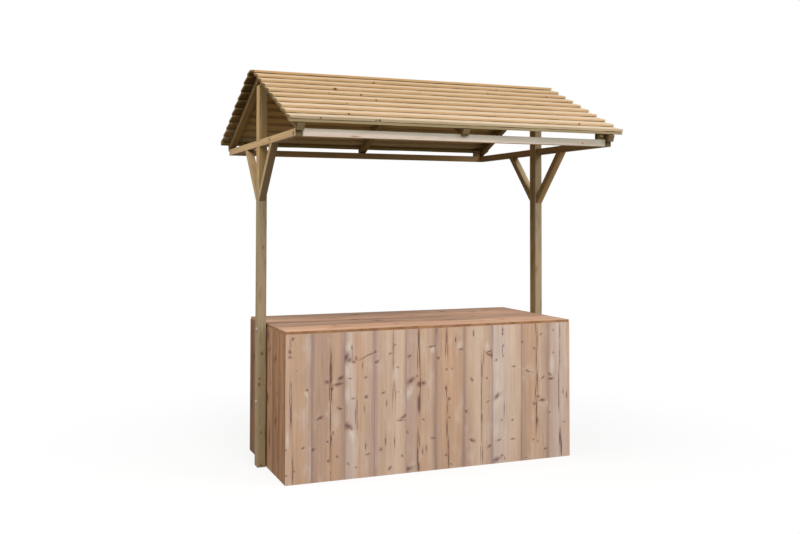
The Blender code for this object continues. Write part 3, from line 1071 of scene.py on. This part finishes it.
def decor(name, plank, seed, ends, joint, bold):
    """One printed plank, in metres across and up from its own corner.

    Colour follows a row of tones from one joint to the other, pushed about by broad noise, and turns
    milky in patches. It darkens towards both joints, unless an end of the sheet is there, and in
    fine lines along the grain, and darkens again in knots and cracks. The grain bends round a knot
    because nearness to the knot pushes the place that the lines are read from.
    """
    width, tones, knots, cracks, milk, milky = plank
    width = width / 1000
    finish = Finish(name)
    place = finish.add("UVMap", {}, uv_map="plank")
    across = finish.add("SeparateXYZ", {0: place}, output=0)
    torn = finish.nudge(place, place, (60, 60, 1), (0.020, 0.020, 0), 3.0)
    split = finish.nudge(place, place, (60, 60, 1), (0.006, 0.05, 0), 3.0)
    to_knot = finish.nearest(torn, in_metres(knots))
    to_crack = finish.nearest(split, in_metres(cracks))
    speck = finish.noise(place, (330, 130, 1), detail=3.0)
    ragged = finish.times(finish.minus(speck, 0.5), 1.6)
    knot = finish.plus(to_knot, ragged)
    rim = finish.smooth(knot, 2.1, 0.7)
    core = finish.smooth(knot, 1.1, 0.1)
    halo = finish.smooth(to_knot, 3.6, 1.0)
    beside = finish.smooth(to_crack, 3.4, 1.0)
    moved = finish.add("CombineXYZ", {"X": finish.times(halo, 0.022), "Y": seed * 1.7, "Z": seed})
    grain = finish.vector("ADD", place, moved)
    broad = finish.noise(grain, (9, 1.3, 1), detail=3.0)
    streaks = finish.noise(grain, (46, 1.4, 1), detail=4.0, roughness=0.62)
    lines = finish.noise(grain, (190, 3.2, 1), detail=3.0, roughness=0.6)
    patches = finish.noise(grain, (10, 4, 1), detail=4.0, roughness=0.55)
    pushed = finish.times(finish.minus(broad, 0.5), 0.7)
    colour = finish.ramp(finish.plus(finish.math("DIVIDE", across, width), pushed), tones)
    near = finish.math("MAXIMUM", halo, beside)
    share = finish.plus(patches, finish.times(near, 0.05))
    share = finish.smooth(share, 0.50, 0.78, 0.0, 0.5)
    if milky:
        patch = finish.plus(finish.nearest(torn, in_metres(milky)), finish.minus(streaks, 0.5))
        share = finish.math("MAXIMUM", share, finish.smooth(patch, 1.5, 0.1, 0.0, 0.8))
    colour = finish.mix(share, colour, milk)
    fine = finish.smooth(streaks, 0.32, 0.68, 1 + 0.06 * bold, 1 - 0.09 * bold)
    colour = finish.shade(colour, fine)
    from_left = finish.plus(across, ends[0])
    inward = finish.math("MINIMUM", from_left, finish.minus(width + ends[1], across))
    flame = finish.smooth(lines, 0.54, 0.66, 0.0, 0.5 * bold)
    flame = finish.times(flame, finish.smooth(inward, 0.01, 0.05))
    colour = finish.tint(flame, colour, FLAME)
    dusk = finish.smooth(broad, 0.35, 0.6, 0.2, 0.85)
    dusk = finish.times(dusk, finish.smooth(inward, 0.031, 0.0))
    colour = finish.tint(dusk, colour, joint)
    line = finish.smooth(patches, 0.35, 0.6, 0.35, 0.75)
    line = finish.times(line, finish.smooth(inward, 0.004, 0.0))
    colour = finish.tint(line, colour, JOINT_LINE)
    colour = finish.tint(finish.times(rim, 0.85), colour, KNOT_RIM)
    colour = finish.tint(core, colour, KNOT_CORE)
    colour = finish.tint(finish.times(beside, 0.35), colour, CRACK_SIDE)
    crack = finish.smooth(finish.plus(to_crack, ragged), 1.3, 0.5)
    crack = finish.times(crack, finish.smooth(patches, 0.38, 0.56, 0.5, 1.0))
    colour = finish.tint(crack, colour, CRACK_CORE)
    roughness = finish.smooth(streaks, 0.3, 0.7, 0.66, 0.56)
    height = finish.minus(finish.times(streaks, 0.5), crack)
    height = finish.minus(height, finish.times(dusk, 0.5))
    return finish.surface(colour, roughness, height, 0.0004, gloss=0.2 if bold == 1 else 0.06)


OPEN_END = 0.05
MILK = paint(208, 195, 184)


def sheet_finishes(prefix, sheet, seed, joint, bold=1):
    """A finish for each plank: (width, tones, knots, cracks, milk, milky patches).

    No joint is drawn at the two ends of the sheet: there the next joint is taken to lie far outside.
    """
    last = len(sheet) - 1
    digits = len(str(len(sheet)))
    made = []
    for index, plank in enumerate(sheet):
        ends = (OPEN_END * (index == 0), OPEN_END * (index == last))
        name = f"{prefix}_plank_{index + 1:0{digits}d}"
        made.append(decor(name, plank, seed + index, ends, joint, bold))
    return made


front_sheet = []
for index, (width, tones, knots, cracks) in enumerate(SHEET):
    colours = [TONES[tone] for tone in tones]
    front_sheet.append((width, colours, knots, cracks, MILK, MILKY.get(index, ())))
planks = sheet_finishes("front", front_sheet, 1, (0.77, 0.75, 0.82))
print("front planks:", len(planks))

# %% Panels of the counter


def plain_edge(name, colour, dark):
    """The thin edge band: the board's colour with long streaks."""
    finish = Finish(name)
    place = finish.add("TexCoord", {}, output="Object")
    streaks = finish.noise(place, (14, 14, 14), detail=3.0)
    shade = finish.mix(finish.smooth(streaks, 0.35, 0.7), colour, dark)
    return finish.surface(shade, finish.smooth(streaks, 0.3, 0.7, 0.6, 0.5), streaks, 0.0002)


def panel(name, node, across, along, sheet, finishes, edge):
    """A board whose section is carried across the planks of a sheet, with a ring at each joint.

    The map of a plank counts metres from its first joint and from the panel's lower end.
    """
    low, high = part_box(node)
    stops = low[across] + np.cumsum([plank[0] for plank in sheet])[:-1] / 1000
    rings = box_rings(low, high, across, stops)
    count, size, _ = rings.shape
    thin = 3 - across - along
    spans = count - 1
    is_edge = np.isclose(rings[0, :, along], np.roll(rings[0, :, along], -1))
    is_edge &= ~np.isclose(rings[0, :, thin], np.roll(rings[0, :, thin], -1))
    picks = np.repeat(np.arange(spans) + 1, size).reshape(spans, size)
    picks[:, is_edge] = 0
    picks = np.concatenate([picks.ravel(), [0, 0]])
    mesh = carried(name, rings, [edge, *finishes], picks)
    up = rings[0, :, along] - low[along]
    widths = np.diff(rings[:, 0, across])
    u = np.zeros((spans, size, 4))
    u[:, :, 2:] = widths[:, None, None]
    v = np.stack([up, np.roll(up, -1), np.roll(up, -1), up], axis=-1)
    uv = np.stack([u, np.broadcast_to(v, u.shape)], axis=-1).reshape(-1, 2)
    caps = np.zeros((2, size, 2))
    caps[0, :, 1] = up[::-1]
    caps[1, :, 1] = up
    caps[1, :, 0] = widths[-1]
    layer = mesh.uv_layers.new(name="plank")
    layer.data.foreach_set("uv", np.concatenate([uv, caps.reshape(-1, 2)]).astype(np.float32).ravel())
    return add_piece(name, mesh, [node], 0.0010)


edge_finish = plain_edge("panel_edge", paint(150, 114, 86), paint(112, 82, 60))
for place, order in (("front", range(10)), ("rear", (6, 3, 8, 1, 5, 9, 2, 7, 0, 4))):
    sheet = [SHEET[pick] for pick in order]
    finishes = [planks[pick] for pick in order]
    node = f"counter_{place}_panel"
    print(panel(f"{place}_panel", node, 0, 2, sheet, finishes, edge_finish).name)

# %% [markdown]
# The side panels are from a browner sheet of narrower planks, with dark lens-shaped cracks. Each
# plank has a tint of its own over the tones; the darker tints of the planks at and behind the post
# are painted shade of the post. Places across are counted from the front corner.

# %% Side panels

# Width, tint, tones, knots and cracks of each plank; the darkest tints, at and behind the post, are painted
# shade
SIDE_SHEET = (
    (
        161, (0.75, 0.58, 0.42), ("brown", "orange", "tan", "dark"),
        ((148, 151, 9, 6), (52, 490, 8, 8), (40, 905, 8, 7), (120, 700, 8, 7)),
        ((100, 620, 4, 90), (60, 260, 4, 70), (26, 760, 3, 60)),
    ),
    (
        160, (0.73, 0.58, 0.44), ("tan", "orange", "brown"),
        ((90, 789, 18, 28, 30), (80, 368, 16, 30, 20), (40, 560, 9, 8)),
        ((120, 520, 4, 120), (30, 240, 4, 80), (60, 905, 3, 40)),
    ),
    (
        165, (0.76, 0.62, 0.48), ("orange", "pale", "pale", "tan"),
        ((136, 925, 20, 42, -10), (102, 830, 24, 10, -35), (144, 489, 22, 30), (70, 600, 9, 9)),
        ((6, 704, 4, 75), (88, 210, 17, 70), (60, 300, 3, 90), (110, 700, 3, 60)),
    ),
    (
        160, (0.62, 0.49, 0.37), ("tan", "orange", "tan"),
        ((60, 640, 14, 26, 20), (110, 300, 12, 20)),
        ((90, 500, 5, 160),),
    ),
    (
        160, (0.50, 0.39, 0.28), ("orange", "dark", "tan"),
        ((90, 800, 14, 28, -20), (40, 440, 14, 20)),
        ((60, 640, 7, 200),),
    ),
    (
        234, (0.46, 0.34, 0.22), ("orange", "tan", "dark", "orange"),
        ((80, 720, 15, 30, 20), (160, 360, 14, 26)),
        ((120, 560, 8, 240), (200, 300, 8, 160)),
    ),
)
for side, seed in (("left", 20), ("right", 30)):
    sheet = []
    for width, tint, tones, knots, cracks in SIDE_SHEET:
        colours = [tinted(TONES[tone], tint) for tone in tones]
        sheet.append((width, colours, knots, cracks, tinted(TONES["pale"], tint), ()))
    finishes = sheet_finishes(side, sheet, seed, (0.76, 0.70, 0.68), 2.6)
    node = f"counter_{side}_panel"
    print(panel(f"{side}_side_panel", node, 1, 2, sheet, finishes, edge_finish).name)

# %% [markdown]
# The worktop's planks lie along the counter. The one at the customer's edge is the palest, and the
# edge band is a plain tan.

# %% Worktop

TOP_PALE = paint(208, 166, 136)
TOP_PEACH = paint(198, 155, 126)
TOP_BROWN = paint(182, 145, 119)
TOP_DARK = paint(154, 122, 99)
# Width, tones, knots and cracks of each plank, from the customer's edge to the back
WORKTOP = (
    (
        150, (TOP_PEACH, TOP_PALE, TOP_PALE),
        ((90, 330, 8, 30), (110, 1480, 7, 26)),
        ((133, 406, 8, 55), (40, 900, 4, 120), (90, 1800, 4, 90)),
    ),
    (
        135, (TOP_PALE, TOP_PEACH, TOP_PEACH),
        ((90, 410, 14, 24), (53, 852, 14, 26), (60, 1700, 9, 28)),
        ((60, 500, 4, 160), (110, 1300, 5, 140)),
    ),
    (
        250, (TOP_BROWN, TOP_DARK, TOP_BROWN, TOP_DARK),
        ((153, 794, 24, 28), (22, 1321, 16, 26), (150, 1560, 12, 36)),
        ((6, 150, 6, 140), (60, 800, 5, 160), (120, 1900, 5, 120)),
    ),
    (
        245, (TOP_DARK, TOP_PEACH, TOP_BROWN),
        ((28, 659, 26, 28), (185, 546, 16, 24), (220, 1718, 16, 28), (120, 1150, 12, 26)),
        ((180, 500, 6, 180), (100, 1300, 5, 200), (216, 1000, 6, 120)),
    ),
    (
        260, (TOP_BROWN, TOP_DARK, TOP_DARK),
        ((123, 790, 28, 28), (99, 1511, 26, 30), (80, 1900, 14, 30)),
        ((120, 420, 6, 150), (60, 1100, 5, 200), (170, 1700, 6, 160)),
    ),
)
sheet = []
for width, colours, knots, cracks in WORKTOP:
    milk = tinted(max(colours), (1.27, 1.30, 1.33))
    # All planks grow paler towards the right end
    pale_end = ((width / 2, 1990, 3 * width, 900),)
    sheet.append((width, colours, knots, cracks, milk, pale_end))
finishes = sheet_finishes("worktop", sheet, 40, (0.70, 0.62, 0.58), 2.8)
top_edge = plain_edge("worktop_edge", paint(164, 124, 90), paint(134, 96, 66))
print(panel("worktop_board", "worktop", 1, 0, sheet, finishes, top_edge).name)

# %% [markdown]
# ## Bolts and screws
# Each post is held to the counter by two coach bolts, and one more goes through the head of the
# post under the ridge. A bolt is turned on a lathe, so it is a profile carried round a circle. The
# roof boards are screwed to the rafters, one screw to a board at each crossing.

# %% Turned fasteners


def zinc():
    """Zinc plate: metal with a faint spangle and dull patches."""
    finish = Finish("zinc_plate")
    place = finish.add("TexCoord", {}, output="Object")
    cloud = finish.noise(place, (180, 180, 180), detail=3.0)
    colour = finish.mix(finish.smooth(cloud, 0.3, 0.7), paint(196, 196, 190), paint(140, 138, 130))
    finish.shader.inputs["Metallic"].default_value = 0.9
    return finish.surface(colour, finish.smooth(cloud, 0.3, 0.7, 0.35, 0.6), cloud, 0.0001)


def turned(name, profile, places, outward, steps=20):
    """A profile of (radius, height) points turned round an axis, at several places at once.

    The point for profile step i and angle a is the place, plus height along the axis, plus radius
    times cosine and sine of the angle along two directions square to it. The last ring closes.
    """
    profile = np.array(profile)
    axis = np.array(outward, float)
    axis /= np.linalg.norm(axis)
    first = np.cross(axis, [0, 0, 1] if abs(axis[2]) < 0.9 else [1, 0, 0])
    first /= np.linalg.norm(first)
    second = np.cross(axis, first)
    angle = np.arange(steps) * 2 * math.pi / steps
    circle = np.cos(angle)[:, None] * first + np.sin(angle)[:, None] * second
    rings = profile[:, 0][:, None, None] * circle + profile[:, 1][:, None, None] * axis
    points = (np.array(places)[:, None, None, :] + rings).reshape(-1, 3)
    size = len(profile) * steps
    one = side_faces(len(profile), steps)
    ends = np.stack([np.arange(steps)[::-1], np.arange(steps) + size - steps])
    starts = np.arange(len(places))[:, None, None] * size
    faces = (one + starts).reshape(-1, 4).tolist() + (ends + starts).reshape(-1, steps).tolist()
    mesh = bpy.data.meshes.new(name)
    mesh.from_pydata(points.tolist(), [], faces)
    mesh.materials.append(zinc_finish)
    return add_piece(name, mesh, [])


zinc_finish = zinc()
dome = [(0.0095 * math.cos(a), 0.0016 + 0.0042 * math.sin(a)) for a in np.linspace(0, 1.45, 6)]
BOLT = [(0.0125, -0.0005), (0.0125, 0.0012), (0.0118, 0.0016), (0.0095, 0.0016), *dome[1:]]
for side in SIDES:
    face = SIDES[side] * post_outer
    notched = SIDES[side] * (post_outer - halving - GAP)
    places = [(face, 0.002, 0.962), (face, 0.007, 0.452), (notched, 0.012, 2.698)]
    print(turned(f"{side}_post_bolts", BOLT, places, (SIDES[side], 0, 0)).name)

SCREW = [(0.0042, -0.0008), (0.0042, 0.0003), (0.0036, 0.0006), (0.0012, 0.0004)]
SCREW_LINES = (-1.1156, 0.0, 1.1156)
SCREW_UP = 0.030
cos, sin = math.cos(board_tilt), math.sin(board_tilt)
through = BOARD_THICKNESS - 0.0004
for slope in SLOPES:
    places = []
    for course in range(2, BOARD_COUNT + 1):
        along = TOP_COURSE + (course - 1) * exposure - SCREW_UP * cos - through * sin
        distance, height = off_slope(along, GAP + (board_width - SCREW_UP) * sin + through * cos)
        for x in SCREW_LINES:
            places.append((x + rng.uniform(-0.006, 0.006), distance * SLOPES[slope], height))
    outward = slope_axes(slope, board_tilt - PITCH)[1]
    print(turned(f"{slope}_board_screws", SCREW, places, outward, 10).name, len(places))

# %% [markdown]
# ## Studio
# The picture is a cut-out on white, so the floor and the world are white only where the camera
# looks at them. To the stall the world is a dull sky and the floor is dark, which keeps the
# underside of the roof dark. Three soft lamps do the rest: a large one in front, above the eave, and
# one high up on each side. The floor shows the stall's shadow close to it and turns white farther out.

# %% Floor and world

FLOOR_REACH = 40.0


def seen_white(finish):
    """1 where the camera, a mirror or glass looks, and 0 for light that reaches the stall."""
    looks = 0.0
    for ray in ("Is Camera Ray", "Is Glossy Ray", "Is Transmission Ray"):
        looks = finish.math("MAXIMUM", looks, finish.add("LightPath", {}, output=ray))
    return looks


def studio_floor():
    """A large floor: plain white far from the stall, with the stall's shadow close to it."""
    corners = np.array([[-1, -1, 0], [1, -1, 0], [1, 1, 0], [-1, 1, 0]]) * FLOOR_REACH
    mesh = bpy.data.meshes.new("studio_floor")
    mesh.from_pydata(corners.tolist(), [], [(0, 1, 2, 3)])
    floor = bpy.data.objects.new("studio_floor", mesh)
    bpy.context.collection.objects.link(floor)
    finish = Finish("studio_floor")
    finish.tree.nodes.remove(finish.shader)
    place = finish.add("TexCoord", {}, output="Object")
    distance = finish.add("VectorMath", {0: place}, output="Value", operation="LENGTH")
    share = finish.smooth(distance, 1.2, 3.4, 0.20, 0.0)
    white = finish.add("Emission", {"Strength": 1.0})
    shaded = finish.add("BsdfDiffuse", {"Color": (0.9, 0.9, 0.9, 1)})
    dim = finish.add("BsdfDiffuse", {"Color": (0.36, 0.32, 0.23, 1)})
    seen = finish.add("MixShader", {0: share, 1: white, 2: shaded})
    both = finish.add("MixShader", {0: seen_white(finish), 1: dim, 2: seen})
    finish.join(both, finish.tree.nodes["Material Output"].inputs["Surface"])
    mesh.materials.append(finish.material)
    return floor


studio_floor()
world = bpy.data.worlds.new("studio")
bpy.context.scene.world = world
sky = Finish("studio", world)
sky.tree.nodes.remove(sky.tree.nodes["Background"])
dim_sky = sky.add("Background", {"Color": (0.98, 0.99, 1.0, 1), "Strength": 0.44})
white_sky = sky.add("Background", {"Color": (1, 1, 1, 1), "Strength": 1.0})
either = sky.add("MixShader", {0: seen_white(sky), 1: dim_sky, 2: white_sky})
sky.join(either, sky.tree.nodes["World Output"].inputs["Surface"])
print("floor and world are white to the camera")

# %% Lamps


def softbox(name, place, target, size, power, colour):
    """A square area lamp that faces a target."""
    data = bpy.data.lights.new(name, "AREA")
    data.size = size
    data.energy = power
    data.color = colour
    lamp = bpy.data.objects.new(name, data)
    lamp.location = place
    lamp.rotation_euler = (Vector(target) - Vector(place)).to_track_quat("-Z", "Y").to_euler()
    bpy.context.collection.objects.link(lamp)
    return lamp


softbox("front_key", (-1.0, -8.0, 5.8), (0, 0, 1.2), 5.0, 455, (1.0, 0.985, 0.96))
softbox("left_window", (-5.5, -0.5, 6.4), (0, 0, 1.4), 3.0, 262, (1.0, 0.98, 0.94))
softbox("right_window", (3.4, -4.5, 5.2), (0.4, 0, 1.6), 2.5, 145, (1.0, 0.985, 0.96))

# %% [markdown]
# ## Camera
# The camera stands in front of the stall, to the left and at head height. A lens that looks almost
# level keeps the posts upright, so the picture is framed by shifting the lens, as an architectural
# photographer does.

# %% Camera

YAW = 0.38385
TILT = 0.02767
ROLL = 0.00157
STAND = Vector((-2.66887, -6.60407, 1.74657))
forward = Vector((math.sin(YAW) * math.cos(TILT), math.cos(YAW) * math.cos(TILT), math.sin(TILT)))
level = Vector((math.cos(YAW), -math.sin(YAW), 0))
upright = level.cross(forward)
rightward = level * math.cos(ROLL) + upright * math.sin(ROLL)
upward = rightward.cross(forward)
lens = bpy.data.cameras.new("camera")
lens.sensor_width = 36
lens.lens = 42.547
lens.shift_x = -0.0080
lens.shift_y = -0.0940
camera = bpy.data.objects.new("camera", lens)
camera.matrix_world = Matrix(
    (
        (rightward.x, upward.x, -forward.x, STAND.x),
        (rightward.y, upward.y, -forward.y, STAND.y),
        (rightward.z, upward.z, -forward.z, STAND.z),
        (0, 0, 0, 1),
    )
)
bpy.context.collection.objects.link(camera)
bpy.context.scene.camera = camera
bpy.context.scene.view_settings.view_transform = "Standard"
print("lens:", lens.lens, "mm")

# %% [markdown]
# ## Last step
# The dressed stall must be as large as the solids.

# %% Update the scene

bpy.context.view_layer.update()
